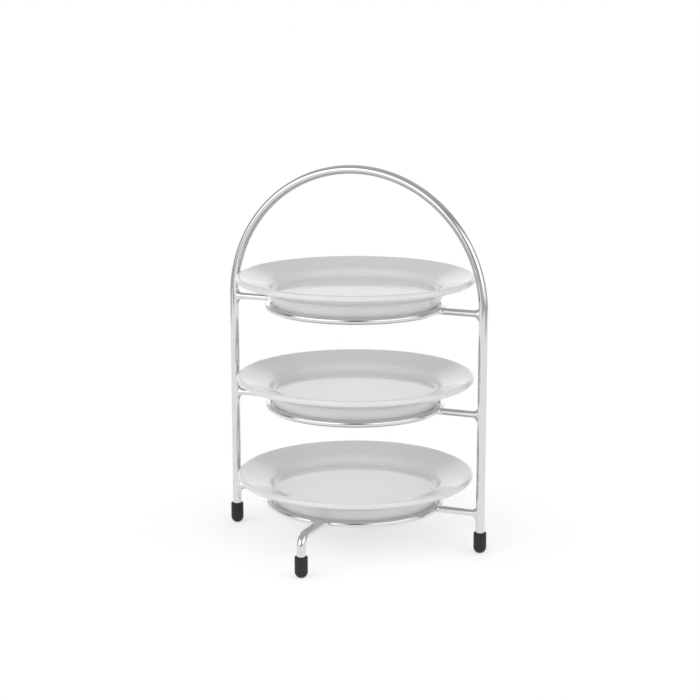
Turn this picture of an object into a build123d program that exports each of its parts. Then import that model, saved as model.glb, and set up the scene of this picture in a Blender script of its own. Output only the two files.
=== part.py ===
from build123d import *
import os
from math import cos, radians, sin, sqrt, tan

# A three-tier plate stand: one bent rod is the carrying handle and both uprights,
# short arms hold a wire ring at each tier, two bent legs steady the bottom ring,
# rubber caps cover the four rod ends, and a round plate drops into each ring.
# The origin is on the floor under the middle of the stand. X runs from upright to
# upright, -Y is the front and Z is up.

# Driving dimensions in millimetres and degrees

# Rods and wires
ROD_D = 6.0               # handle, uprights and legs
WIRE_D = 4.5              # rings and arms
RING_OD = 121.0           # outside of a ring
BOTTOM_TIER_H = 27.0      # floor to the axis of the bottom ring
TIER_PITCH = 67.7         # ring axis to ring axis
HANDLE_START = 0.5        # straight upright above the top arms, before the arch
LEG_RUN = 24.0            # straight leg between the bottom ring and its bend
LEG_BEND_R = 7.0          # bend at the middle of the leg's rod

# Welds
WELD_R = 3.0              # fillet of weld metal at the ends of an arm
LEG_WELD_R = 4.5          # fillet of weld metal beside a leg, along the ring
WELD_SAG = 0.7            # weld metal runs down: lower under an arm than over it
WELD_SET = 0.2            # how far a welded end stays below the top of the ring's wire

# Plates
PLATE_D = 160.0
PLATE_GAP = 7.0           # free space between a plate's rim and an upright
PLATE_DROP = 2.0          # ring axis down to the plate's foot
RIM_T = 4.2               # thickness of the flange and of its round edge
EDGE_FLAT = 0.1           # what the rounding leaves straight on the rim's edge
WALL_T = 3.8              # thickness of the wall around the well
BASE_T = 5.0              # thickness of the floor of the well
FOOT_H = 6.3              # recess inside the plate's foot
FOOT_W = 4.0              # width of the plate's foot where it ends
WELL_D = 5.0              # floor of the well up to the brow, where its wall turns into the flange
WALL_ANGLE = 65.0         # wall of the well, from level
FLANGE_ANGLE = 17.0       # flange, from level
WELL_R = 3.0              # curve from the floor of the well to its wall
BROW_R = 5.0              # curve from the wall of the well to the flange
KNEE_R = 4.5              # curve under the flange where it leaves the wall
FOOT_EDGE_R = 0.8         # rounding of the foot's edges
FOOT_ROOT_R = 2.5         # curve from the foot to the underside of the base
SEAT_GAP = 0.3            # clearance between a plate and its ring

# Rubber feet
CAP_WALL = 1.3            # rubber around the rod
CAP_H = 14.0
CAP_FLOOR = 4.0           # rubber under the rod's end
CAP_FLAT_D = 3.0          # worn flat under the dome
CAP_LIP_R = 0.4           # rounding of the cap's mouth

# Sizes that follow from them
rod_r = ROD_D / 2
wire_r = WIRE_D / 2
ring_r = RING_OD / 2 - wire_r
upright_x = PLATE_D / 2 + PLATE_GAP + rod_r
leg_y = RING_OD / 2 + LEG_RUN + LEG_BEND_R
tier_h = {
    "bottom": BOTTOM_TIER_H,
    "middle": BOTTOM_TIER_H + TIER_PITCH,
    "top": BOTTOM_TIER_H + 2 * TIER_PITCH,
}
arch_h = tier_h["top"] + HANDLE_START
weld_width = (wire_r + rod_r) / 2
weld_height = wire_r - WELD_SET
weld_turns = [0, 25, 50, 75]


def arch_frame():
    """The handle and both uprights: one rod bent to a half circle over two straight sides."""
    left = Line((-upright_x, 0, CAP_FLOOR), (-upright_x, 0, arch_h))
    crown = ThreePointArc((-upright_x, 0, arch_h), (0, 0, arch_h + upright_x), (upright_x, 0, arch_h))
    right = Line((upright_x, 0, arch_h), (upright_x, 0, CAP_FLOOR))
    section = Plane((-upright_x, 0, CAP_FLOOR)) * Circle(rod_r)
    return sweep(section, path=left + crown + right)


def ring(height):
    """A hoop of wire around the plate's foot."""
    return Pos(0, 0, height) * Torus(ring_r, wire_r)


def weld_neck(start, round_r, weld_r, end_half, run_in, sag=0):
    """The end of a rod or wire, spread by its weld: round sections grow into an
    ellipse along an arc, then run on into the piece that it is welded to."""
    full_growth = 1 - cos(radians(weld_turns[-1]))
    full_reach = sin(radians(weld_turns[-1]))
    sections = []
    for turn in weld_turns:
        growth = (1 - cos(radians(turn))) / full_growth
        reach = weld_r * sin(radians(turn)) / full_reach
        half_long = round_r + weld_r * growth
        half_short = round_r + (end_half - round_r) * growth
        sections.append(start.offset(reach) * Pos(-sag * growth, 0) * Ellipse(half_long, half_short))
    return loft(sections) + extrude(sections[-1], run_in)


def arm(height, frame, hoop):
    """A level wire from the right upright to the ring, with a weld at each end."""
    inner_x = RING_OD / 2 + WELD_R
    outer_x = upright_x - rod_r - WELD_R
    inward = Plane((inner_x, 0, height), x_dir=(0, 1, 0), z_dir=(-1, 0, 0))
    outward = Plane((outer_x, 0, height), x_dir=(0, 0, 1), z_dir=(1, 0, 0))
    wire = extrude(inward * Circle(wire_r), inner_x - outer_x)
    at_ring = weld_neck(inward, wire_r, WELD_R, weld_height, wire_r)
    at_upright = weld_neck(outward, wire_r, WELD_R, weld_width, rod_r, sag=WELD_SAG)
    return wire + at_ring + at_upright - frame - hoop


def front_leg(hoop):
    """A rod from the front of the bottom ring, bent down to its foot."""
    height = tier_h["bottom"]
    inner_y = -RING_OD / 2 - LEG_WELD_R
    inward = Plane((0, inner_y, height), x_dir=(1, 0, 0), z_dir=(0, 1, 0))
    corner = (0, -leg_y, height)
    path = FilletPolyline((0, inner_y, height), corner, (0, -leg_y, CAP_FLOOR), radius=LEG_BEND_R)
    rod = sweep(inward * Circle(rod_r), path=path)
    at_ring = weld_neck(inward, rod_r, LEG_WELD_R, weld_height, wire_r)
    return rod + at_ring - hoop


def cap():
    """A push-on rubber foot: a bullet-shaped cap with a small flat to stand on."""
    cap_r = rod_r + CAP_WALL
    flat_r = CAP_FLAT_D / 2
    dome_h = sqrt(cap_r**2 - flat_r**2)
    dome = RadiusArc((flat_r, 0), (cap_r, dome_h), -cap_r)
    sides = FilletPolyline(
        (cap_r, dome_h),
        (cap_r, CAP_H),
        (rod_r, CAP_H),
        (rod_r, CAP_FLOOR),
        (0, CAP_FLOOR),
        (0, 0),
        (flat_r, 0),
        radius=[CAP_LIP_R, CAP_LIP_R, 0, 0, 0],
    )
    return revolve(Plane.XZ * make_face(dome + sides), Axis.Z)


def crossing(point_a, angle_a, point_b, angle_b):
    """Where two sloping lines of the plate's section meet."""
    slope_a = tan(radians(angle_a))
    slope_b = tan(radians(angle_b))
    rise = point_b[1] - point_a[1] - slope_b * (point_b[0] - point_a[0])
    along = rise / (slope_a - slope_b)
    return (point_a[0] + along, point_a[1] + slope_a * along)


def beside(point, angle, distance):
    """The point that lies a distance to the upper left of a line sloping at an angle."""
    return (point[0] - distance * sin(radians(angle)), point[1] + distance * cos(radians(angle)))


def plate():
    """A round plate: flat well, deep foot that wedges in the ring, and a sloping flange.
    Heights are counted from the ring's axis."""
    floor_h = BASE_T + FOOT_H - PLATE_DROP
    edge_r = (RIM_T - EDGE_FLAT) / 2
    wall_out = beside((ring_r, 0), WALL_ANGLE, wire_r + SEAT_GAP)
    wall_in = beside(wall_out, WALL_ANGLE, WALL_T)
    brow = crossing(wall_in, WALL_ANGLE, (0, floor_h + WELL_D), 0)
    middle = beside(brow, FLANGE_ANGLE, -RIM_T / 2)
    flange_run = PLATE_D / 2 - RIM_T / 2 - middle[0]
    edge = (middle[0] + flange_run, middle[1] + flange_run * tan(radians(FLANGE_ANGLE)))
    flange_top = beside(edge, FLANGE_ANGLE, RIM_T / 2)
    flange_under = beside(edge, FLANGE_ANGLE, -RIM_T / 2)
    edge_reach = RIM_T / 2 * cos(radians(FLANGE_ANGLE))
    edge_lift = RIM_T / 2 * sin(radians(FLANGE_ANGLE))
    foot_out = crossing(wall_out, WALL_ANGLE, (0, -PLATE_DROP), 0)
    foot_in = foot_out[0] - FOOT_W
    section = FilletPolyline(
        (0, floor_h),
        crossing(wall_in, WALL_ANGLE, (0, floor_h), 0),
        brow,
        (flange_top[0] + edge_reach, flange_top[1] + edge_lift),
        (flange_under[0] + edge_reach, flange_under[1] + edge_lift),
        crossing(wall_out, WALL_ANGLE, flange_under, FLANGE_ANGLE),
        foot_out,
        (foot_in, -PLATE_DROP),
        (foot_in, FOOT_H - PLATE_DROP),
        (0, FOOT_H - PLATE_DROP),
        radius=[WELL_R, BROW_R, edge_r, edge_r, KNEE_R, FOOT_EDGE_R, FOOT_EDGE_R, FOOT_ROOT_R],
    )
    axis_side = Line((0, FOOT_H - PLATE_DROP), (0, floor_h))
    return revolve(Plane.XZ * make_face(section + axis_side), Axis.Z)


def stand():
    """Every piece of the stand in its place, by name."""
    half_turn = Rot(0, 0, 180)
    frame = arch_frame()
    pieces = {"arch_frame": frame}
    for tier, height in tier_h.items():
        hoop = ring(height)
        right_arm = arm(height, frame, hoop)
        pieces[f"{tier}_ring"] = hoop
        pieces[f"right_{tier}_arm"] = right_arm
        pieces[f"left_{tier}_arm"] = half_turn * right_arm
        pieces[f"{tier}_plate"] = Pos(0, 0, height) * plate()
    leg = front_leg(pieces["bottom_ring"])
    pieces["front_leg"] = leg
    pieces["back_leg"] = half_turn * leg
    foot_places = {
        "left_foot": (-upright_x, 0),
        "right_foot": (upright_x, 0),
        "front_foot": (0, -leg_y),
        "back_foot": (0, leg_y),
    }
    for name, (x, y) in foot_places.items():
        pieces[name] = Pos(x, y, 0) * cap()
    return pieces


os.makedirs("parts", exist_ok=True)
for node, piece in stand().items():
    export_step(piece, f"parts/{node}.step")
    print(node, len(piece.solids()), "solid", round(piece.volume), "mm3")
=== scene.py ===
# %% [markdown]
# # A three-tier plate stand
# The real stand is one bent chromed rod, three wire hoops on short welded arms, two bent legs,
# four rubber caps and three loose porcelain plates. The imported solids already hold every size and
# place, so they are loaded first and the lesson reads its sizes from them. Each piece is then made
# again as one fine smooth skin, because bright metal and glaze show every facet of a coarse mesh.

import bpy
import numpy as np
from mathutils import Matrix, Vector


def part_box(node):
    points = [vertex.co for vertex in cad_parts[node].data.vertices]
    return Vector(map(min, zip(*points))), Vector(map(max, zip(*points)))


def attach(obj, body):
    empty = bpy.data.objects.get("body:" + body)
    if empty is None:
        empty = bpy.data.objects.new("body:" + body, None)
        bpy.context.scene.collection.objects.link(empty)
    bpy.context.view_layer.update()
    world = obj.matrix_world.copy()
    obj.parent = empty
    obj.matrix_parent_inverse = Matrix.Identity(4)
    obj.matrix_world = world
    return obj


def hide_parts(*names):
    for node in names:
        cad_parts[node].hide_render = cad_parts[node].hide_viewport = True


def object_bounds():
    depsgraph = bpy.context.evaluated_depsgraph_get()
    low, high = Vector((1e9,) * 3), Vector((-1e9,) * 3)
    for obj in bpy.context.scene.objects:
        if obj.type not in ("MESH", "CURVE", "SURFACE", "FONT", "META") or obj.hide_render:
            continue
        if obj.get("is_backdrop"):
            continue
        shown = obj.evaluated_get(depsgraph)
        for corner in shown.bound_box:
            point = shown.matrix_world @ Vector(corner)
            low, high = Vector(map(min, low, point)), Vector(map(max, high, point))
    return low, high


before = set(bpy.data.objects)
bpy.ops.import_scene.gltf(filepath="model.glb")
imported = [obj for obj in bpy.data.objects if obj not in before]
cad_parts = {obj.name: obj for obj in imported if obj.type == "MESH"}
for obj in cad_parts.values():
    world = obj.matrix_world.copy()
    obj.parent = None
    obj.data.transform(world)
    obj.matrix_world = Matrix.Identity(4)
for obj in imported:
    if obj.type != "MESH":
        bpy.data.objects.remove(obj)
cad_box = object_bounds()

# %% [markdown]
# ## Sizes
# A solid's box gives away most of its sizes: the rod's radius is half the depth of the arch, a
# hoop's wire is half its height. Reading them here keeps the looks and the solids in step. Only
# what a box can't tell, such as the radius of a weld, is written down as a named value.

# %% Measure the rods, wires and tiers
MM = 0.001
TIERS = ("bottom", "middle", "top")


def corners(node):
    """The lowest and the highest corner of a solid, as two arrays in metres."""
    low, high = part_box(node)
    return np.array(low), np.array(high)


def in_mm(*lengths):
    """Lengths in millimetres, rounded for printing."""
    return [round(float(length) / MM, 2) for length in lengths]


arch_low, arch_high = corners("arch_frame")
rod_r = arch_high[1]
upright_x = arch_high[0] - rod_r
arch_h = arch_high[2] - rod_r - upright_x
rod_end_h = arch_low[2]
hoop_low, hoop_high = corners("bottom_ring")
wire_r = (hoop_high[2] - hoop_low[2]) / 2
hoop_r = hoop_high[0] - wire_r
tier_h = {tier: np.mean(corners(f"{tier}_ring"), axis=0)[2] for tier in TIERS}
print("radius of rod, wire and hoop:", in_mm(rod_r, wire_r, hoop_r), "mm")
print("uprights at", in_mm(-upright_x, upright_x), "and tiers at", in_mm(*tier_h.values()), "mm")

# %% [markdown]
# ## One way to make every skin
# Rods, hoops, caps and plates are all rings of points, one after the other: around a rod, or
# around a plate's axis. A modifier could spin or sweep them too, but with the points in one array
# the seams and poles are closed for certain, and the mesh can carry its own map for the finish.

# %% Faces between rings of points
def with_poles(values, columns):
    """Appends the mean of the first and of the last row, one value for each pole."""
    rows = values.reshape(-1, columns, *values.shape[1:])
    return np.concatenate([values, rows[[0, -1]].mean(axis=1)])


def skin_faces(rows, columns, closed):
    """Four-sided faces between neighbouring rings. Where the skin is open, each end gets a fan
    of triangles to its pole. Also gives each corner's place on the grid, unwrapped at the seam."""
    row = np.arange(rows if closed else rows - 1)[:, None]
    column = np.arange(columns)[None, :]
    row_of = np.stack(np.broadcast_arrays(row, row, row + 1, row + 1), axis=-1)
    row_of = np.broadcast_to(row_of, (len(row), columns, 4)).reshape(-1, 4)
    column_of = np.stack([column, column + 1, column + 1, column], axis=-1)
    column_of = np.broadcast_to(column_of, (len(row), columns, 4)).reshape(-1, 4)
    quads = row_of % rows * columns + column_of % columns
    if closed:
        return quads, np.empty((0, 3), int), row_of, column_of
    around = np.arange(columns)
    beside = (around + 1) % columns
    end = (rows - 1) * columns
    start_fan = np.stack([np.full(columns, rows * columns), beside, around], axis=-1)
    end_fan = np.stack([np.full(columns, rows * columns + 1), end + around, end + beside], axis=-1)
    return quads, np.concatenate([start_fan, end_fan]), row_of, column_of


def enclosed(points, faces):
    """Six times the volume inside a skin: the sum of a . (b x c) over the faces' corners."""
    total = 0.0
    for step in range(1, faces.shape[1] - 1):
        a, b, c = (points[faces[:, i]] for i in (0, step, step + 1))
        total += np.sum(a * np.cross(b, c))
    return total


quads, fans, _, _ = skin_faces(rows=2, columns=4, closed=False)
print("two rings of 4 points:", len(quads), "faces around and", len(fans), "in the two ends")


# %% A piece from rings of points
def skin(name, rings, closed=False, marks=None):
    """A piece whose skin joins each ring of points to the next. rings is rows x columns x 3. A
    closed skin joins its last ring to its first; an open one ends in a pole at each end. The map
    is in metres, around and along. marks are extra numbers for each ring, kept for the finish."""
    rows, columns = rings.shape[:2]
    points = rings.reshape(-1, 3)
    if not closed:
        points = with_poles(points, columns)
    quads, fans, row_of, column_of = skin_faces(rows, columns, closed)
    lengths = np.linalg.norm(np.diff(rings[:, 0], axis=0, append=rings[:1, 0]), axis=-1)
    along = np.concatenate([[0.0], np.cumsum(lengths)])
    girth = np.linalg.norm(np.diff(rings, axis=1, append=rings[:, :1]), axis=-1).sum(axis=1).mean()
    quad_map = np.stack([column_of / columns * girth, along[row_of]], axis=-1)
    fan_map = np.zeros((len(fans), 3, 2))
    if enclosed(points, quads) + enclosed(points, fans) < 0:
        quads, fans, quad_map = quads[:, ::-1], fans[:, ::-1], quad_map[:, ::-1]
    mesh = bpy.data.meshes.new(name)
    mesh.from_pydata(points.tolist(), [], [*quads.tolist(), *fans.tolist()])
    whole_map = np.concatenate([quad_map.ravel(), fan_map.ravel()])
    mesh.uv_layers.new(name="skin").data.foreach_set("uv", whole_map)
    mesh.polygons.foreach_set("use_smooth", np.ones(len(mesh.polygons), bool))
    for mark, values in (marks or {}).items():
        on_points = np.repeat(values, columns)
        if not closed:
            on_points = with_poles(on_points, columns)
        attribute = mesh.attributes.new(mark, "FLOAT", "POINT")
        attribute.data.foreach_set("value", on_points.astype(np.float32))
    mesh.update()
    piece = bpy.data.objects.new(name, mesh)
    bpy.context.scene.collection.objects.link(piece)
    return piece


def stand_for(piece, node, body, slot, *finishes):
    """The piece takes a solid's place, rides on its body, and gets its finish."""
    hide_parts(node)
    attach(piece, body)
    for finish in finishes:
        piece.data.materials.append(finish)
    print(piece.name, "stands for", node, "with", len(piece.data.polygons), "faces")


print("pieces to make:", len(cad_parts))

# %% [markdown]
# ## Nodes by name
# A finish is a small tree of nodes. It could be laid out by hand in the Shader Editor, but here it
# has to be read as text. So one helper adds a node and fills its sockets by name: a plain value is
# set on the socket, and another node's output is linked to it. That keeps each finish below short
# enough to read from top to bottom.

# %% Adding nodes
def feed(tree, node, sockets):
    """Fills a node's sockets: sets plain values and links outputs."""
    for name, value in sockets.items():
        if isinstance(value, bpy.types.NodeSocket):
            tree.links.new(value, node.inputs[name])
        else:
            node.inputs[name].default_value = value


def add(tree, kind, sockets=None, output=0, **settings):
    """A new node with its settings and sockets filled in. Gives back one of its outputs."""
    node = tree.nodes.new(kind)
    for name, value in settings.items():
        setattr(node, name, value)
    feed(tree, node, sockets or {})
    return node.outputs[output]


def coordinates(tree, kind):
    """One output of the Texture Coordinate node, by name."""
    return add(tree, "ShaderNodeTexCoord", output=kind)


def mark_value(tree, name):
    """The numbers that a skin holds under a mark's name."""
    return add(tree, "ShaderNodeAttribute", output="Fac", attribute_name=name)


def calculated(tree, operation, *values):
    """A calculation with up to three values, in the order of the node's sockets."""
    return add(tree, "ShaderNodeMath", dict(enumerate(values)), operation=operation)


def new_finish(name):
    """An empty finish: its material, its node tree and the shader in it."""
    finish = bpy.data.materials.new(name)
    finish.use_nodes = True
    return finish, finish.node_tree, finish.node_tree.nodes["Principled BSDF"]


print("helpers for nodes: feed, add, coordinates, mark_value, calculated, new_finish")

# %% Patterns and ranges
NOISE_RANGE = (0.3, 0.7)  # where most of a noise pattern's values lie


def noise(tree, vector, changes, detail):
    """A soft random pattern: about how often it changes in a metre, and how fine it is."""
    return add(tree, "ShaderNodeTexNoise", {"Vector": vector, "Scale": changes, "Detail": detail})


def bumps(tree, height, strength, depth):
    """A surface that seems to rise and fall with a pattern, as deep as a length in metres."""
    return add(tree, "ShaderNodeBump", {"Height": height, "Strength": strength, "Distance": depth})


def between(tree, value, source, target, **settings):
    """Maps a value from one range onto another, and stops at the ends of the ranges."""
    names = ("Value", "From Min", "From Max", "To Min", "To Max")
    return add(tree, "ShaderNodeMapRange", dict(zip(names, (value, *source, *target))), **settings)


def two_tones(tree, value, dark, light):
    """A colour between two tones, following a value from 0 to 1."""
    colour = add(tree, "ShaderNodeValToRGB", {"Fac": value})
    stops = colour.node.color_ramp.elements
    stops[0].color = (*dark, 1)
    stops[1].color = (*light, 1)
    return colour


print("a pattern is read from", NOISE_RANGE[0], "to", NOISE_RANGE[1])

# %% [markdown]
# ## Bright chrome
# The rods and wires are drawn steel, welded, polished and plated. The plating is nearly a mirror:
# what is left of the steel under it is a trace of the draw lines along the rod, a haze that comes
# and goes over a few millimetres, and a duller, lumpier skin on the weld metal. The draw lines
# have to follow the rod, so they use the skin's own map; the rest follows the object. They are far
# too fine to be seen one by one, so they only roughen the mirror and don't bend its surface.

# %% Chrome
CHROME_DARK = (0.69, 0.69, 0.70)
CHROME_LIGHT = (0.73, 0.73, 0.735)
DRAW_LINES = (9000, 110, 1)   # how often the draw lines change in a metre, around and along
LINE_RANGE = (0.35, 0.65)     # where most values of that pattern lie
LINE_ROUGH = (0.0, 0.03)      # what the draw lines add to the roughness
HAZE_CHANGES = 140            # how often the haze changes in a metre
HAZE_ROUGH = (0.02, 0.06)     # roughness from clear to hazy
WELD_CHANGES = 620            # how often the weld's skin changes in a metre
WELD_ROUGH = 0.10             # what weld metal adds to the roughness
WELD_BUMP = 0.5               # strength of its unevenness
WELD_BUMP_H = 0.25 * MM       # and its depth


def chrome_finish():
    """Mirror metal with draw lines along the skin, drifting haze, and an uneven skin on welds."""
    finish, tree, shader = new_finish("bright_chrome")
    place = coordinates(tree, "Object")
    surface = coordinates(tree, "UV")
    drawn = add(tree, "ShaderNodeMapping", {"Vector": surface, "Scale": DRAW_LINES})
    weld = mark_value(tree, "weld")
    haze = noise(tree, place, HAZE_CHANGES, detail=3)
    lines = noise(tree, drawn, changes=1, detail=2)
    uneven = noise(tree, place, WELD_CHANGES, detail=2)
    hazy = between(tree, haze, NOISE_RANGE, HAZE_ROUGH)
    lined = between(tree, lines, LINE_RANGE, LINE_ROUGH)
    polish = calculated(tree, "ADD", hazy, lined)
    strength = calculated(tree, "MULTIPLY", weld, WELD_BUMP)
    feed(tree, shader, {
        "Base Color": two_tones(tree, haze, CHROME_DARK, CHROME_LIGHT),
        "Metallic": 1.0,
        "Roughness": calculated(tree, "MULTIPLY_ADD", weld, WELD_ROUGH, polish),
        "Normal": bumps(tree, uneven, strength, WELD_BUMP_H),
    })
    return finish


chrome = chrome_finish()
print("finish:", chrome.name, len(chrome.node_tree.nodes), "nodes")

# %% [markdown]
# ## The handle and uprights
# One rod is bent to a half circle over two straight sides, so that the carrying handle and both
# uprights are a single piece. A curve with a round bevel would give the same tube. Here a circle
# is carried along the path instead, because the path is so plain: it lies in one plane, and its
# outward direction turns from left, over the top, to right.

# %% Handle rod
RING_POINTS = 48          # points around a rod or wire
SIDE_RINGS = 60           # rings along each straight side of the handle
ARCH_RINGS = 218          # rings over the half circle between them
ROUND = np.linspace(0, 2 * np.pi, RING_POINTS, endpoint=False)
X_AXIS, Y_AXIS, Z_AXIS = np.eye(3)


def carried(centres, across, upward, half_across, half_up):
    """A section carried along a path: around each centre, the ring of points
    centre + half_across cos(turn) across + half_up sin(turn) upward. A direction or a half size
    is either one for the whole path or one for each centre."""
    wide = np.reshape(half_across, (-1, 1, 1)) * np.cos(ROUND)[:, None]
    high = np.reshape(half_up, (-1, 1, 1)) * np.sin(ROUND)[:, None]
    across = np.reshape(across, (-1, 1, 3))
    upward = np.reshape(upward, (-1, 1, 3))
    return centres[:, None] + wide * across + high * upward


def handle_rings():
    """Rings of the rod: up the left side, over a half circle, down the right side. The outward
    direction is (cos turn, 0, sin turn), and the path is the middle of the arch plus upright_x
    times that, drawn down along the straight sides."""
    rise = np.linspace(rod_end_h, arch_h, SIDE_RINGS)
    bend = np.linspace(np.pi, 0, ARCH_RINGS + 2)[1:-1]
    turn = np.concatenate([np.full_like(rise, np.pi), bend, np.zeros_like(rise)])
    base_h = np.concatenate([rise, np.full_like(bend, arch_h), rise[::-1]])
    outward = np.stack([np.cos(turn), np.zeros_like(turn), np.sin(turn)], axis=-1)
    centres = upright_x * outward + base_h[:, None] * Z_AXIS
    return carried(centres, outward, Y_AXIS, rod_r, rod_r)


rings = handle_rings()
handle = skin("handle_and_uprights", rings, marks={"weld": np.zeros(len(rings))})
stand_for(handle, "arch_frame", "stand", "chrome", chrome)

# %% [markdown]
# ## The hoops
# Each plate drops into a hoop of thinner wire, closed to a circle and welded. A torus from
# Blender's own list would do, but the formula is two lines, and it leaves a map that runs along
# the wire for the draw lines to follow.

# %% Hoops
HOOP_RINGS = 320          # rings along a hoop's wire


def hoop_rings(height):
    """A circle of wire: at each turn a ring around a point that is hoop_r out from the axis."""
    turn = np.linspace(0, 2 * np.pi, HOOP_RINGS, endpoint=False)
    outward = np.stack([np.cos(turn), np.sin(turn), np.zeros_like(turn)], axis=-1)
    centres = hoop_r * outward + height * Z_AXIS
    return carried(centres, outward, Z_AXIS, wire_r, wire_r)


for tier in TIERS:
    rings = hoop_rings(tier_h[tier])
    hoop = skin(f"{tier}_hoop", rings, closed=True, marks={"weld": np.zeros(len(rings))})
    stand_for(hoop, f"{tier}_ring", "stand", "chrome", chrome)

# %% [markdown]
# ## The welded arms
# A short wire joins each upright to each hoop. Weld metal has run around both ends, so the wire
# spreads like a trumpet: flat along the hoop at one end, tall along the upright at the other,
# where it also hangs a little lower below than above. It has set in soft lumps. A blend of two
# meshes would make soft corners too, but here the spread follows a quarter circle, and each end is
# wrapped on the round piece that it meets, which gives a true saddle.

# %% Weld spread
WELD_R = 3.0 * MM         # fillet of weld metal at the ends of an arm
LEG_WELD_R = 4.5 * MM     # fillet of weld metal beside a leg
WELD_SAG = 0.7 * MM       # how far weld metal hangs down at an upright
WELD_SET = 0.2 * MM       # how far a welded end stays below the top of the hoop's wire
WELD_TURN = np.radians(75)
weld_height = wire_r - WELD_SET
weld_width = (wire_r + rod_r) / 2
hoop_out = hoop_r + wire_r


def weld_growth(steps):
    """How a weld spreads along a quarter circle: its reach along the wire goes with the sine of
    the turn, and its growth with one minus the cosine. Both are 1 at WELD_TURN."""
    turn = np.linspace(0, np.pi / 2, steps)
    return np.sin(turn) / np.sin(WELD_TURN), (1 - np.cos(turn)) / (1 - np.cos(WELD_TURN))


def hollow(radius, aside):
    """How far a round piece of that radius falls back from its front, at a distance aside."""
    return radius - np.sqrt(np.clip(radius**2 - aside**2, 0, None))


print("half height of a weld at a hoop, half width at an upright:", in_mm(weld_height, weld_width))

# %% Weld lumps
WELD_LUMP = 0.4 * MM      # sets how far the lumps of weld metal stand out, about half as much
AROUND_WAVE = (3, 0.5, 1.0)   # waves around the wire, their turn for each ring and for each seed
CROSS_WAVE = (2, -0.8, 1.7)   # the same for the waves that cross them


def unit(vectors):
    """Vectors of length one."""
    return vectors / np.linalg.norm(vectors, axis=-1, keepdims=True)


def phase(wave, row, seed):
    """How far a wave has turned at each point of each ring: the sum of its three turns."""
    return wave[0] * ROUND + wave[1] * row + wave[2] * seed


def lumped(rings, centres, spread, seed):
    """Weld metal sets in lumps: each point moves away from its ring's centre by two crossing waves,
    around the wire and along it. They grow with the weld's spread and die away again where the weld
    sinks into the piece that it holds. The seed shifts them, so that no two pieces are alike."""
    row = np.arange(len(rings))[:, None]
    waves = np.sin(phase(AROUND_WAVE, row, seed)) * np.cos(phase(CROSS_WAVE, row, seed))
    height = WELD_LUMP * spread * (1 - (spread / spread.max()) ** 2)
    return rings + unit(rings - centres[:, None]) * (height[:, None] * waves)[:, :, None]


print("lumps stand out by up to about", in_mm(WELD_LUMP / 2)[0], "mm")

# %% Arms
NECK = 18                 # rings in one spread end
SHAFT = 14                # rings in the straight wire
AS_MADE = np.array([1.0, 1.0, 1.0])
HALF_TURN = np.array([-1.0, -1.0, 1.0])
ARMS = [(tier, *side) for tier in TIERS for side in (("right", AS_MADE), ("left", HALF_TURN))]


def arm_rings(height, seed):
    """The right arm, from inside the hoop to inside the upright. Each ring is an ellipse across
    the wire; both half sizes grow with the weld, lumps are added to it, and the ends bend back
    over hoop and upright. Also gives how far each ring belongs to a weld."""
    reach, growth = weld_growth(NECK)
    inner_x = hoop_out + WELD_R
    outer_x = upright_x - rod_r - WELD_R
    at_hoop = np.concatenate([growth[-1:], growth[::-1], np.zeros(SHAFT + NECK + 1)])
    at_upright = at_hoop[::-1]
    x = np.concatenate([
        [hoop_r],
        inner_x - WELD_R * reach[::-1],
        np.linspace(inner_x, outer_x, SHAFT + 2)[1:-1],
        outer_x + WELD_R * reach,
        [upright_x - rod_r / 2],
    ])
    half_y = wire_r + WELD_R * at_hoop + (weld_width - wire_r) * at_upright
    half_z = wire_r + (weld_height - wire_r) * at_hoop + WELD_R * at_upright
    centres = np.stack([x, 0 * x, height - WELD_SAG * at_upright], axis=-1)
    spread = np.maximum(at_hoop, at_upright)
    rings = lumped(carried(centres, Y_AXIS, Z_AXIS, half_y, half_z), centres, spread, seed)
    aside = rings[:, :, 1]
    rings[:, :, 0] += at_upright[:, None] * hollow(rod_r, aside)
    rings[:, :, 0] -= at_hoop[:, None] * hollow(hoop_out, aside)
    return rings, spread


for seed, (tier, side, placing) in enumerate(ARMS):
    rings, weld = arm_rings(tier_h[tier], seed)
    arm = skin(f"{side}_{tier}_welded_arm", rings * placing, marks={"weld": np.clip(weld, 0, 1)})
    stand_for(arm, f"{side}_{tier}_arm", "stand", "chrome", chrome)

# %% [markdown]
# ## The legs
# Two rods are welded to the bottom hoop, front and back, run out level and bend down to the
# table. The path is two straight runs and a quarter circle, all in one plane. A curve with a bevel
# could follow it, but not spread into the weld, so the carried section serves here too.

# %% Legs
LEG_BEND_R = 7.0 * MM     # radius of the bend, to the middle of the rod
LEG_BEND_RINGS = 40       # rings in the bend
LEG_DOWN_RINGS = 19       # rings from the bend down to the rod's end
LEGS = [("front", AS_MADE), ("back", HALF_TURN)]
leg_y = np.mean(corners("front_foot"), axis=0)[1]


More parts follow.
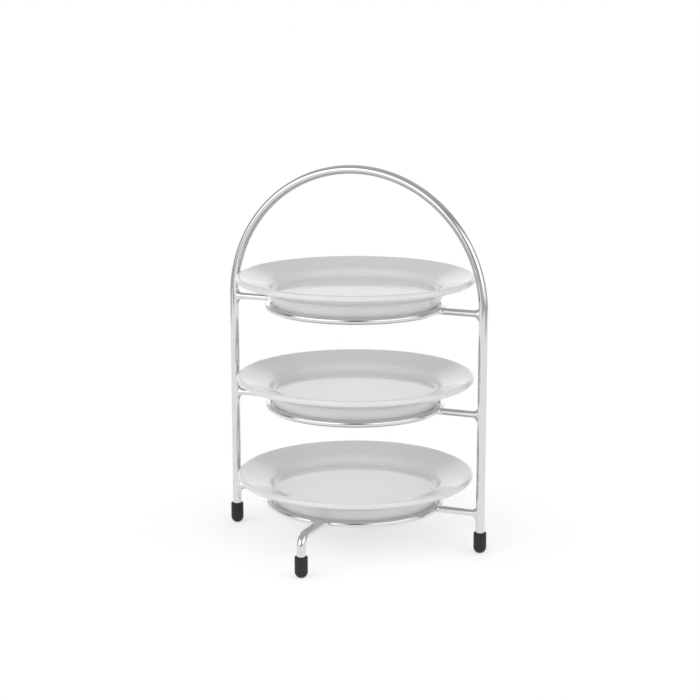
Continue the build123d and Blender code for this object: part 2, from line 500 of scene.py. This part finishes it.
def leg_rings(height, seed):
    """The front leg. Its upper side points up along the level run and turns to the front in the
    bend: upper = (0, -sin turn, cos turn). In the bend the path is the bend's middle plus
    LEG_BEND_R times that. The welded start is flat, wide, lumpy, and wrapped on the hoop. Also
    gives how far each ring belongs to the weld."""
    reach, growth = weld_growth(NECK)
    inner_y = -hoop_out - LEG_WELD_R
    bend_y = leg_y + LEG_BEND_R
    bend_h = height - LEG_BEND_R
    level_y = np.concatenate([
        [-hoop_r],
        inner_y + LEG_WELD_R * reach[::-1],
        np.linspace(inner_y, bend_y, SHAFT + 2)[1:-1],
    ])
    bend = np.linspace(0, np.pi / 2, LEG_BEND_RINGS)
    down_h = np.linspace(bend_h, rod_end_h, LEG_DOWN_RINGS + 1)[1:]
    y = np.concatenate([level_y, bend_y - LEG_BEND_R * np.sin(bend), np.full_like(down_h, leg_y)])
    z = np.concatenate([np.full_like(level_y, height), bend_h + LEG_BEND_R * np.cos(bend), down_h])
    centres = np.stack([0 * y, y, z], axis=-1)
    turn = np.concatenate([0 * level_y, bend, np.full_like(down_h, np.pi / 2)])
    upper = np.stack([0 * turn, -np.sin(turn), np.cos(turn)], axis=-1)
    spread = np.zeros(len(centres))
    spread[:NECK + 1] = np.concatenate([growth[-1:], growth[::-1]])
    half_x = rod_r + LEG_WELD_R * spread
    half_up = rod_r + (weld_height - rod_r) * spread
    rings = lumped(carried(centres, X_AXIS, upper, half_x, half_up), centres, spread, seed)
    rings[:, :, 1] += spread[:, None] * hollow(hoop_out, rings[:, :, 0])
    return rings, spread


for seed, (side, placing) in enumerate(LEGS, start=len(ARMS)):
    rings, weld = leg_rings(tier_h["bottom"], seed)
    leg = skin(f"{side}_bent_leg", rings * placing, marks={"weld": np.clip(weld, 0, 1)})
    stand_for(leg, f"{side}_leg", "stand", "chrome", chrome)

# %% [markdown]
# ## Moulded rubber
# The caps on the rods' ends are moulded rubber: dull, a little grainy, and never quite clean. A
# plain black would do from afar, but the caps are the darkest pieces of the stand and the eye goes
# there. So a trace of dust makes their colour and their roughness drift together.

# %% Rubber
RUBBER_DARK = (0.014, 0.014, 0.015)
RUBBER_LIGHT = (0.026, 0.026, 0.026)
RUBBER_SHINE = 0.4        # how strongly it mirrors, where 0.5 is usual
DUST_CHANGES = 210        # how often the dust changes in a metre
DUST_ROUGH = (0.5, 0.68)  # roughness from clean to dusty
GRAIN_CHANGES = 5200      # how often the grain changes in a metre
GRAIN_BUMP = 0.25         # strength of the grain
GRAIN_H = 0.05 * MM       # and its depth


def rubber_finish():
    """Dull black rubber: dust drifts over millimetres, and the grain is a fifth of a millimetre."""
    finish, tree, shader = new_finish("moulded_rubber")
    place = coordinates(tree, "Object")
    dust = noise(tree, place, DUST_CHANGES, detail=4)
    grain = noise(tree, place, GRAIN_CHANGES, detail=2)
    feed(tree, shader, {
        "Base Color": two_tones(tree, dust, RUBBER_DARK, RUBBER_LIGHT),
        "Roughness": between(tree, dust, NOISE_RANGE, DUST_ROUGH),
        "Specular IOR Level": RUBBER_SHINE,
        "Normal": bumps(tree, grain, GRAIN_BUMP, GRAIN_H),
    })
    return finish


rubber = rubber_finish()
print("finish:", rubber.name, len(rubber.node_tree.nodes), "nodes")

# %% [markdown]
# ## The rubber caps
# A bullet-shaped cap is pushed over each rod's end. It is moulded, so its mouth is rounded, and
# its dome is worn to a small flat where it stands. A Screw modifier could turn the outline around
# its axis, and a Bevel could round the corners. Here a formula does both, so that each corner has
# the very radius that is written down, and the plates can be turned in the same way later.

# %% A rounded outline, turned
def rounded(points, radii, arc_points, run_points):
    """An outline with round corners. At each inner corner, an arc of its radius touches both
    sides: its middle lies on the corner's bisector, radius / sin(half the corner) away. Straight
    runs get points that crowd towards their ends, so that smooth shading stays flat between."""
    points = np.asarray(points, float)
    radii = np.asarray(radii, float)[:, None]
    back = unit(points[:-2] - points[1:-1])
    ahead = unit(points[2:] - points[1:-1])
    half = np.arccos(np.sum(back * ahead, axis=-1, keepdims=True)) / 2
    middle = points[1:-1] + unit(back + ahead) * radii / np.sin(half)
    touch = points[1:-1] + back * radii / np.tan(half) - middle
    way = np.sign(back[:, :1] * ahead[:, 1:] - back[:, 1:] * ahead[:, :1])
    swing = way * (np.pi - 2 * half) * np.linspace(0, 1, arc_points)
    turn = np.arctan2(touch[:, 1:], touch[:, :1]) - swing
    arcs = middle[:, None] + radii[:, None] * np.stack([np.cos(turn), np.sin(turn)], axis=-1)
    starts = np.concatenate([points[:1], arcs[:, -1]])
    ends = np.concatenate([arcs[:, 0], points[-1:]])
    share = 0.5 - 0.5 * np.cos(np.pi * np.linspace(0, 1, run_points + 2)[1:-1])
    runs = starts[:, None] + share[:, None] * (ends - starts)[:, None]
    joined = np.concatenate([runs[:-1], arcs], axis=1).reshape(-1, 2)
    return np.concatenate([points[:1], joined, runs[-1], points[-1:]])


def turned(outline, columns, middle=(0.0, 0.0), base_h=0.0):
    """A lathe: an outline of radius and height, turned around an upright axis."""
    turn = np.linspace(0, 2 * np.pi, columns, endpoint=False)
    x = middle[0] + outline[:, :1] * np.cos(turn)
    y = middle[1] + outline[:, :1] * np.sin(turn)
    z = np.broadcast_to(base_h + outline[:, 1:], x.shape)
    return np.stack([x, y, z], axis=-1)


sample = rounded([(0, 0), (1, 0), (1, 1)], radii=[0.5], arc_points=5, run_points=2)
print("one right angle, rounded, has", len(sample), "points")

# %% Caps
CAP_FLAT_R = 1.5 * MM     # worn flat under the dome
CAP_LIP_R = 0.4 * MM      # rounding of the cap's mouth
GRIP = 0.05 * MM          # how far the bore closes on the rod, so that no gap shows
POLE_R = 0.3 * MM         # first ring around a pole
DOME_POINTS = 30          # points along the dome's outline
CAP_ARC = 9               # points in a rounded corner of the cap
CAP_RUN = 8               # points in a straight run of the cap
CAP_COLUMNS = 64          # points around the cap


def cap_outline(cap_r, cap_h):
    """From the middle of the flat out, around the dome, up the side, over the lip, down the bore."""
    dome_h = np.sqrt(cap_r**2 - CAP_FLAT_R**2)
    turn = np.linspace(-np.arcsin(dome_h / cap_r), 0, DOME_POINTS)
    dome = np.stack([cap_r * np.cos(turn), dome_h + cap_r * np.sin(turn)], axis=-1)
    bore_r = rod_r - GRIP
    wall = [
        (cap_r, dome_h),
        (cap_r, cap_h),
        (bore_r, cap_h),
        (bore_r, rod_end_h),
        (POLE_R, rod_end_h),
    ]
    wall = rounded(wall, [CAP_LIP_R, CAP_LIP_R, GRIP], CAP_ARC, CAP_RUN)
    return np.concatenate([[(POLE_R, 0.0)], dome, wall[1:]])


for side in ("left", "right", "front", "back"):
    low, high = corners(f"{side}_foot")
    outline = cap_outline((high[0] - low[0]) / 2, high[2])
    rings = turned(outline, CAP_COLUMNS, middle=(low + high)[:2] / 2)
    cap = skin(f"{side}_rubber_cap", rings)
    stand_for(cap, f"{side}_foot", "stand", "rubber", rubber)

# %% [markdown]
# ## Glazed porcelain
# The plates are white porcelain under a clear glaze. A coat layer over a dull body could stand for
# the glaze, but body and glaze are so close in tone that one glossy layer does. The white isn't
# quite even: it drifts between a cooler and a creamier tone, and the glaze has the faint ripple
# that firing leaves. Molten glaze also runs off the edges and pools in the hollows, so a mark on
# each ring of the plate says how hollow it is. The foot is wiped bare before firing, so it gets a
# finish of its own.

# %% Porcelain
GLAZE_COOL = (0.868, 0.869, 0.871)
GLAZE_WARM = (0.888, 0.887, 0.882)
DRIFT_CHANGES = 26        # how often the tone changes in a metre
RIPPLE_CHANGES = 95       # how often the glaze ripples in a metre
RIPPLE_ROUGH = (0.04, 0.075)   # roughness from the smoother to the duller places
RIPPLE_BUMP = 0.06        # strength of the ripple
RIPPLE_H = 0.4 * MM       # and its depth
POOL_TONE = 0.35          # how far pooled glaze shifts the tone
POOL_GLOSS = 0.025        # how far it smooths the surface


def porcelain_finish():
    """Glossy white: its tone drifts over centimetres and the glaze ripples over less. Where the
    glaze is thick the white is cooler and smoother, where it is thin it is creamier and duller."""
    finish, tree, shader = new_finish("glazed_porcelain")
    place = coordinates(tree, "Object")
    pool = mark_value(tree, "pool")
    drift = noise(tree, place, DRIFT_CHANGES, detail=2)
    ripple = noise(tree, place, RIPPLE_CHANGES, detail=1)
    tone = calculated(tree, "MULTIPLY_ADD", pool, -POOL_TONE, drift)
    gloss = between(tree, ripple, NOISE_RANGE, RIPPLE_ROUGH)
    feed(tree, shader, {
        "Base Color": two_tones(tree, tone, GLAZE_COOL, GLAZE_WARM),
        "Roughness": calculated(tree, "MULTIPLY_ADD", pool, -POOL_GLOSS, gloss),
        "Normal": bumps(tree, ripple, RIPPLE_BUMP, RIPPLE_H),
    })
    return finish


porcelain = porcelain_finish()
print("finish:", porcelain.name, len(porcelain.node_tree.nodes), "nodes")

# %% Bare porcelain
WHOLE_RANGE = (0.0, 1.0)
BARE_DARK = (0.60, 0.585, 0.56)
BARE_LIGHT = (0.70, 0.69, 0.665)
CLAY_CHANGES = 2400       # how often the clay's grain changes in a metre
CLAY_ROUGH = (0.62, 0.8)  # roughness over the whole range of the grain
CLAY_BUMP = 0.3           # strength of the clay's grain
CLAY_H = 0.06 * MM        # and its depth


def bare_finish():
    """Fired clay without glaze: dull, creamy and finely grained."""
    finish, tree, shader = new_finish("bare_porcelain")
    place = coordinates(tree, "Object")
    grain = noise(tree, place, CLAY_CHANGES, detail=3)
    feed(tree, shader, {
        "Base Color": two_tones(tree, grain, BARE_DARK, BARE_LIGHT),
        "Roughness": between(tree, grain, WHOLE_RANGE, CLAY_ROUGH),
        "Normal": bumps(tree, grain, CLAY_BUMP, CLAY_H),
    })
    return finish


bare = bare_finish()
print("finish:", bare.name, len(bare.node_tree.nodes), "nodes")

# %% [markdown]
# ## The plates
# Each plate has a flat well, a steep wall, a wide sloping flange with a round edge, and underneath
# a deep foot that drops into the hoop until the wall wedges there. On a lathe it is one outline.
# The outline follows the same steps as a pattern maker's drawing: the outer wall is set off from
# the hoop, the inner wall from the outer one, and the flange from the brow where they meet. It
# could be traced as a curve, but then it wouldn't follow when the hoop changes.

# %% Slopes
def uphill(angle):
    """The unit vector up a slope."""
    return np.array([np.cos(angle), np.sin(angle)])


def over(angle):
    """The unit vector at a right angle to a slope, to its upper left."""
    return np.array([-np.sin(angle), np.cos(angle)])


def at_height(point, angle, height):
    """Where a sloping line through a point reaches a height."""
    return point + uphill(angle) * (height - point[1]) / np.sin(angle)


def meeting(point_a, angle_a, point_b, angle_b):
    """Where two sloping lines meet."""
    slopes = np.stack([uphill(angle_a), -uphill(angle_b)], axis=-1)
    along = np.linalg.solve(slopes, point_b - point_a)
    return point_a + along[0] * uphill(angle_a)


WALL_ANGLE = np.radians(65)
FLANGE_ANGLE = np.radians(17)
print("the wall rises by", round(float(np.tan(WALL_ANGLE)), 2), "for each step outwards,")
print("the flange by", round(float(np.tan(FLANGE_ANGLE)), 2))

# %% Plate outline
RIM_T = 4.2 * MM          # thickness of the flange and of its round edge
EDGE_FLAT = 0.1 * MM      # what the rounding leaves straight on the edge
WALL_T = 3.8 * MM         # thickness of the wall around the well
BASE_T = 5.0 * MM         # thickness of the floor of the well
FOOT_H = 6.3 * MM         # recess inside the foot
FOOT_W = 4.0 * MM         # width of the foot where it ends
WELL_D = 5.0 * MM         # floor of the well up to the brow
SEAT_GAP = 0.3 * MM       # clearance between plate and hoop
WELL_R = 3.0 * MM         # curve from the floor of the well to its wall
BROW_R = 5.0 * MM         # curve from the wall of the well to the flange
EDGE_R = (RIM_T - EDGE_FLAT) / 2
KNEE_R = 4.5 * MM         # curve under the flange where it leaves the wall
FOOT_EDGE_R = 0.8 * MM    # rounding of the foot's edges
FOOT_ROOT_R = 2.5 * MM    # curve from the foot to the recess inside it
CORNER_RADII = [WELL_R, BROW_R, EDGE_R, EDGE_R, KNEE_R, FOOT_EDGE_R, FOOT_EDGE_R, FOOT_ROOT_R]
PLATE_ARC = 14            # points in a rounded corner of the plate
PLATE_RUN = 9             # points in a straight run of the plate


def plate_outline(plate_r, foot_h):
    """Half of a plate's section, with heights from the hoop's middle: along the floor of the
    well, up its wall, over the brow, out to the edge, back under the flange, and round the foot."""
    recess_h = foot_h + FOOT_H
    floor_h = recess_h + BASE_T
    wall_out = np.array([hoop_r, 0.0]) + over(WALL_ANGLE) * (wire_r + SEAT_GAP)
    wall_in = wall_out + over(WALL_ANGLE) * WALL_T
    brow = at_height(wall_in, WALL_ANGLE, floor_h + WELL_D)
    under = brow - over(FLANGE_ANGLE) * RIM_T
    middle = (brow + under) / 2
    run = (plate_r - RIM_T / 2 - middle[0]) / np.cos(FLANGE_ANGLE)
    tip = middle + uphill(FLANGE_ANGLE) * (run + RIM_T / 2)
    foot_out = at_height(wall_out, WALL_ANGLE, foot_h)
    points = [
        (POLE_R, floor_h),
        at_height(wall_in, WALL_ANGLE, floor_h),
        brow,
        tip + over(FLANGE_ANGLE) * RIM_T / 2,
        tip - over(FLANGE_ANGLE) * RIM_T / 2,
        meeting(wall_out, WALL_ANGLE, under, FLANGE_ANGLE),
        foot_out,
        foot_out - [FOOT_W, 0],
        (foot_out[0] - FOOT_W, recess_h),
        (POLE_R, recess_h),
    ]
    return rounded(points, CORNER_RADII, PLATE_ARC, PLATE_RUN)


low, high = corners("bottom_plate")
outline = plate_outline(high[0], low[2] - tier_h["bottom"])
print("outline of a plate:", len(outline), "points, out to", in_mm(outline[:, 0].max())[0], "mm")

# %% Glaze and bare foot
POOL_R = 4.0 * MM         # a hollow of this radius is full of glaze
POOL_SPREAD = 7           # rings over which the thickness of the glaze evens out
BARE_H = 0.5 * MM         # height of the bare band at the end of the foot


def pooled(outline):
    """How thick the glaze lies along an outline, from -1 on edges to 1 in hollows: the change of
    direction over the length walked, times POOL_R, evened out over neighbouring points."""
    steps = np.diff(outline, axis=0)
    lengths = np.linalg.norm(steps, axis=-1)
    heading = np.unwrap(np.arctan2(steps[:, 1], steps[:, 0]))
    turning = np.diff(heading) / ((lengths[1:] + lengths[:-1]) / 2)
    thickness = np.clip(np.pad(turning, 1) * POOL_R, -1, 1)
    return np.convolve(thickness, np.full(POOL_SPREAD, 1 / POOL_SPREAD), mode="same")


def wipe_foot(plate, foot_end_h):
    """Gives the second finish of a plate to the faces within BARE_H of the end of its foot."""
    faces = plate.data.polygons
    centres = np.empty(len(faces) * 3)
    faces.foreach_get("center", centres)
    wiped = centres.reshape(-1, 3)[:, 2] < foot_end_h + BARE_H
    faces.foreach_set("material_index", wiped.astype(np.int32))
    print("   bare faces on the foot:", int(wiped.sum()))


glaze = pooled(outline)
print("glaze from", round(float(glaze.min()), 2), "to", round(float(glaze.max()), 2))

# %% Plates
PLATE_COLUMNS = 240       # points around a plate
WARP = 0.12 * MM          # how far firing lets the rim leave its plane
RIM_WAVES = 2             # how often the rim dips on its way around
WARP_TURN = 1.3           # how far the warp is turned from plate to plate, in radians

for number, tier in enumerate(TIERS):
    low, high = corners(f"{tier}_plate")
    outline = plate_outline(high[0], low[2] - tier_h[tier])
    rings = turned(outline, PLATE_COLUMNS, base_h=tier_h[tier])
    turn = np.arctan2(rings[:, :, 1], rings[:, :, 0])
    slack = np.clip((outline[:, :1] - hoop_out) / (high[0] - hoop_out), 0, 1) ** 2
    rings[:, :, 2] -= WARP * slack * (1 + np.cos(RIM_WAVES * turn + WARP_TURN * number)) / 2
    plate = skin(f"{tier}_porcelain_plate", rings, marks={"pool": pooled(outline)})
    stand_for(plate, f"{tier}_plate", f"{tier}_plate", "porcelain", porcelain, bare)
    wipe_foot(plate, low[2])

# %% [markdown]
# ## The table
# The stand is shown on a plain pale table that runs out to white. More light would bring the table
# to white, but the plates too. So a glow is added to the table only where it is looked at, by the
# camera or in the chrome and glaze, and the light that it throws back stays that of a pale table.
# The shadow under the stand is the table's own. Farther out the table turns to plain white.

# %% Table finish
TABLE_COLOUR = (0.85, 0.85, 0.85, 1)
GLOW = 0.425              # what brings the lit table up to white, where it is looked at
FADE = (0.06, 0.17)       # metres from the middle where plain white sets in and is reached
LOOKING_RAYS = ("Is Camera Ray", "Is Glossy Ray", "Is Transmission Ray")


def largest(tree, value, *others):
    """The largest of several values."""
    for other in others:
        value = calculated(tree, "MAXIMUM", value, other)
    return value


def seen_directly(tree):
    """1 for rays that look at a surface: from the camera, or by way of a mirror or glass."""
    return largest(tree, *[add(tree, "ShaderNodeLightPath", output=ray) for ray in LOOKING_RAYS])


def table_finish():
    """A dull pale surface with a glow, which turns to plain white with the distance from the stand."""
    finish, tree, shader = new_finish("pale_table")
    tree.nodes.remove(shader)
    place = coordinates(tree, "Object")
    distance = add(tree, "ShaderNodeVectorMath", {0: place}, output="Value", operation="LENGTH")
    far = between(tree, distance, FADE, WHOLE_RANGE, interpolation_type="SMOOTHSTEP")
    seen = seen_directly(tree)
    dull = add(tree, "ShaderNodeBsdfDiffuse", {"Color": TABLE_COLOUR})
    glow = add(tree, "ShaderNodeEmission", {"Strength": calculated(tree, "MULTIPLY", GLOW, seen)})
    near = add(tree, "ShaderNodeAddShader", {0: dull, 1: glow})
    white = add(tree, "ShaderNodeEmission", {"Strength": 1.0})
    share = calculated(tree, "MULTIPLY", far, seen)
    mixed = add(tree, "ShaderNodeMixShader", {0: share, 1: near, 2: white})
    feed(tree, tree.nodes["Material Output"], {"Surface": mixed})
    return finish


pale = table_finish()
print("finish:", pale.name, len(pale.node_tree.nodes), "nodes, white beyond", FADE[1], "m")

# %% Table
TABLE_HALF = 0.8          # half the table's width, in metres

table_mesh = bpy.data.meshes.new("table")
table_corners = np.array([[-1, -1, 0], [1, -1, 0], [1, 1, 0], [-1, 1, 0]]) * TABLE_HALF
table_mesh.from_pydata(table_corners.tolist(), [], [(0, 1, 2, 3)])
table_mesh.materials.append(pale)
table = bpy.data.objects.new("table", table_mesh)
bpy.context.scene.collection.objects.link(table)
table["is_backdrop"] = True
print("table", 2 * TABLE_HALF, "m wide")

# %% [markdown]
# ## The studio
# Glaze and chrome show what stands around them, so the studio is part of the finish. Behind the
# stand a mirror sees a white sweep. What it sees between and above the softboxes is dim, and that
# draws the dark lines along the rods. A picture of a real studio could be wrapped around the
# scene, but a few soft steps by height and direction are enough, and each can be set by itself.

# %% World
FILL = 0.43               # plain light from all round
FLOOR = 0.5               # how much of white a mirror sees beyond the edge of the table
GAP = 0.17                # how much it sees between the softboxes
CEILING = 0.5             # how much it sees overhead
SWEEP = 0.6               # how much it sees of the white sweep behind the stand
HORIZON = (-0.02, 0.04)   # rise of a ray, as a sine, where the floor gives way to the gap
OVERHEAD = (0.35, 0.85)   # rise of a ray where the gap gives way to the ceiling
BACKDROP = (0.05, 0.5)    # how far a ray points away from the camera where the sweep comes in
CAMERA_TURN = np.radians(22.5)
toward_camera = np.array([np.sin(CAMERA_TURN), -np.cos(CAMERA_TURN), 0.0])


def studio_world():
    """Plain fill for the light. A mirror sees the floor below the horizon, dark gaps above it, a
    paler ceiling and, away from the camera, the sweep. The camera sees plain white."""
    world = bpy.data.worlds.new("studio")
    world.use_nodes = True
    tree = world.node_tree
    tree.nodes.clear()
    ray = coordinates(tree, "Generated")
    rise = add(tree, "ShaderNodeSeparateXYZ", {"Vector": ray}, output="Z")
    vectors = {0: ray, 1: -toward_camera}
    away = add(tree, "ShaderNodeVectorMath", vectors, output="Value", operation="DOT_PRODUCT")
    below = between(tree, rise, HORIZON, (FLOOR, GAP))
    above = between(tree, rise, OVERHEAD, (GAP, CEILING))
    behind = between(tree, away, BACKDROP, (GAP, SWEEP))
    from_camera = add(tree, "ShaderNodeLightPath", output="Is Camera Ray")
    shown = largest(tree, below, above, behind, from_camera)
    strength = add(tree, "ShaderNodeMix", {"Factor": seen_directly(tree), "A": FILL, "B": shown})
    background = add(tree, "ShaderNodeBackground", {"Color": (1, 1, 1, 1), "Strength": strength})
    feed(tree, tree.nodes.new("ShaderNodeOutputWorld"), {"Surface": background})
    return world


bpy.context.scene.world = studio_world()
print("world nodes:", len(bpy.context.scene.world.node_tree.nodes))

# %% [markdown]
# ## The softboxes
# Three wide softboxes stand around the table: left and right of the camera, and behind the stand.
# A glowing sheet would do, but an area lamp gives the same light with less noise. A real softbox
# is brightest in the middle of its cloth, and here that matters: a lamp with a hard edge would
# draw that edge on the flanges of the plates.

# %% Softbox
LAMP_REACH = 1.5          # metres from a softbox to the point that it faces
LAMP_WIDE = 2.8           # width of a softbox, in metres
SOFT_EDGE = (0.0, 0.3)    # share of the cloth over which it fades towards each edge
AIM = np.array([0.0, 0.0, 0.12])   # the point that they face, about half way up the stand
rightward = np.array([np.cos(CAMERA_TURN), np.sin(CAMERA_TURN), 0.0])


def soft_cloth(tree):
    """Full brightness in the middle of the cloth, fading smoothly to nothing at its four edges."""
    cloth = add(tree, "ShaderNodeNewGeometry", output="Parametric")
    share = 1.0
    for axis in ("X", "Y"):
        across = add(tree, "ShaderNodeSeparateXYZ", {"Vector": cloth}, output=axis)
        from_other_edge = calculated(tree, "SUBTRACT", 1.0, across)
        nearest = calculated(tree, "MINIMUM", across, from_other_edge)
        fade = between(tree, nearest, SOFT_EDGE, WHOLE_RANGE, interpolation_type="SMOOTHSTEP")
        share = calculated(tree, "MULTIPLY", share, fade)
    feed(tree, tree.nodes["Emission"], {"Strength": share})


def softbox(name, aside, lift, high, brightness):
    """A wide lamp that faces the stand: its middle is so many degrees right of the camera and
    over the table. Its power is the brightness of its middle times pi times its area."""
    turn, rise = np.radians([aside, lift])
    outward = np.cos(turn) * toward_camera + np.sin(turn) * rightward
    place = AIM + LAMP_REACH * (np.cos(rise) * outward + np.sin(rise) * Z_AXIS)
    lamp = bpy.data.lights.new(name, "AREA")
    lamp.shape = "RECTANGLE"
    lamp.size = LAMP_WIDE
    lamp.size_y = high
    lamp.energy = brightness * np.pi * LAMP_WIDE * high
    lamp.use_nodes = True
    soft_cloth(lamp.node_tree)
    holder = bpy.data.objects.new(name, lamp)
    holder.location = place
    holder.rotation_euler = Vector(AIM - place).to_track_quat("-Z", "Y").to_euler()
    bpy.context.scene.collection.objects.link(holder)
    print(name, "power", round(lamp.energy, 2), "W")


softbox("left_softbox", aside=-50, lift=20, high=1.5, brightness=1.55)
softbox("right_softbox", aside=50, lift=20, high=1.5, brightness=1.27)
softbox("back_softbox", aside=180, lift=9, high=1.1, brightness=0.65)

# %% [markdown]
# ## The camera
# The picture was taken from a little above the top plate, turned to the right of the front leg.
# The camera could be moved by eye until the picture fits. The place, tilt and lens below were
# worked out instead, and put the rods, hoops and feet where the picture has them. The view
# transform stays plain, so that a colour renders about as it is written.

# %% Camera
CAMERA_REACH = 1.19896    # level distance from the stand's axis, in metres
CAMERA_ASIDE = -0.0037    # how far the camera stands left of the line to the axis, in metres
CAMERA_H = 0.39016        # height over the table, in metres
CAMERA_TILT = np.radians(12.187)
LENS = 93.73              # focal length, in millimetres
SENSOR = 36.0             # width of the sensor, in millimetres

lens = bpy.data.cameras.new("camera")
lens.lens = LENS
lens.sensor_width = SENSOR
camera = bpy.data.objects.new("camera", lens)
camera.location = CAMERA_ASIDE * rightward + CAMERA_REACH * toward_camera + CAMERA_H * Z_AXIS
camera.rotation_euler = (np.pi / 2 - CAMERA_TILT, 0, CAMERA_TURN)
bpy.context.scene.collection.objects.link(camera)
bpy.context.scene.camera = camera
bpy.context.scene.view_settings.view_transform = "Standard"
print("camera at", in_mm(*camera.location), "mm")

# %% [markdown]
# ## Size and finish
# The dressed stand is meant to stay inside the box of its solids. The sizes of both boxes
# are printed, so that they can be set side by side.

# %% Print the sizes of both boxes
boxes = {"cad": cad_box, "visual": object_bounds()}
for name, (low, high) in boxes.items():
    print(name, in_mm(*(high - low)), "mm")
